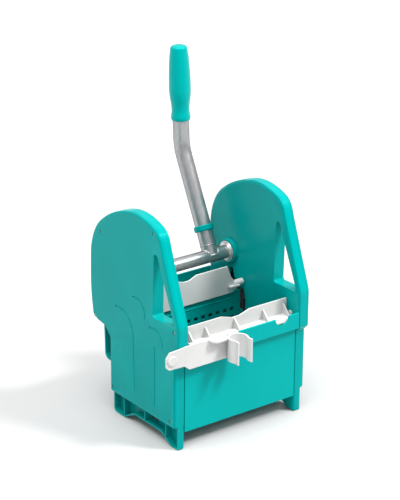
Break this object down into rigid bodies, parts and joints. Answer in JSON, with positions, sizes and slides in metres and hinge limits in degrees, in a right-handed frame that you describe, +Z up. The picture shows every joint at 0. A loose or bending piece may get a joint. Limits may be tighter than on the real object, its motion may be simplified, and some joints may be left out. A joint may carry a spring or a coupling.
{
  "type": "mop press wringer",
  "caption": "Lever-operated mop press wringer: side panels with carry holes, cross shaft and gripped lever, press plate, white mop adapters.",
  "frame": {"origin": "on the plane the feet stand on, midway between the side covers and midway between the front and rear faces of the lower body", "axes": "+X to the right side panel, -Y to the front, +Z up"},
  "size_m": [0.317, 0.364, 0.6275],
  "materials": {
    "teal_plastic": "fine satin moulded plastic",
    "teal_grip": "smooth satin moulded grip",
    "white_plastic": "smooth white moulded plastic",
    "gear_plastic": "dark moulded plastic",
    "satin_tube": "satin silver tube",
    "bright_collar": "bright turned",
    "screw_steel": "plain steel"
  },
  "bodies": {
    "body": {"front_wall": "teal_plastic", "rear_wall": "teal_plastic", "drip_floor": "teal_plastic", "left_housing": "teal_plastic", "left_cover": "teal_plastic", "left_cover_screws": "screw_steel", "left_shaft_bush": "teal_plastic", "left_idler_axle": "screw_steel", "right_housing": "teal_plastic", "right_cover": "teal_plastic", "right_cover_screws": "screw_steel", "right_shaft_bush": "teal_plastic", "right_idler_axle": "screw_steel"},
    "lever": {"cross_shaft": "satin_tube", "lever_socket": "satin_tube", "lever_tube": "satin_tube", "lever_stop_ring": "teal_plastic", "lever_grip": "teal_grip", "left_shaft_collar": "bright_collar", "left_drive_pinion": "gear_plastic", "right_shaft_collar": "bright_collar", "right_drive_pinion": "gear_plastic"},
    "left_idler": {"left_idler_gear": "gear_plastic"},
    "right_idler": {"right_idler_gear": "gear_plastic"},
    "press_carriage": {"press_plate": "teal_plastic", "left_rack_arm": "gear_plastic", "right_rack_arm": "gear_plastic", "rack_screws": "screw_steel"},
    "front_adapter_body": {"front_adapter": "white_plastic"},
    "rear_adapter_body": {"rear_adapter": "white_plastic"}
  },
  "joints": [
    {"name": "lever_hinge", "type": "hinge", "parent": "body", "child": "lever", "pos_m": [0, 0.096, 0.2525], "axis": [1, 0, 0], "range_deg": [0, 100]},
    {"name": "left_idler_spin", "type": "hinge", "parent": "body", "child": "left_idler", "pos_m": [-0.13, 0.03805, 0.20977], "axis": [1, 0, 0], "range_deg": [-125, 0]},
    {"name": "right_idler_spin", "type": "hinge", "parent": "body", "child": "right_idler", "pos_m": [0.13, 0.03805, 0.20977], "axis": [1, 0, 0], "range_deg": [-125, 0]},
    {"name": "press_slide", "type": "slide", "parent": "body", "child": "press_carriage", "axis": [0, -1, 0], "range_m": [0, 0.06981]},
    {"name": "front_adapter_lift", "type": "slide", "parent": "body", "child": "front_adapter_body", "axis": [0, 0, 1], "range_m": [0, 0.05]},
    {"name": "rear_adapter_lift", "type": "slide", "parent": "press_carriage", "child": "rear_adapter_body", "axis": [0, 0, 1], "range_m": [0, 0.02]}
  ],
  "couplings": [
    {"joint": "left_idler_spin", "follows": "lever_hinge", "ratio": -1.25},
    {"joint": "right_idler_spin", "follows": "lever_hinge", "ratio": -1.25},
    {"joint": "press_slide", "follows": "lever_hinge", "m_per_rad": 0.04}
  ]
}
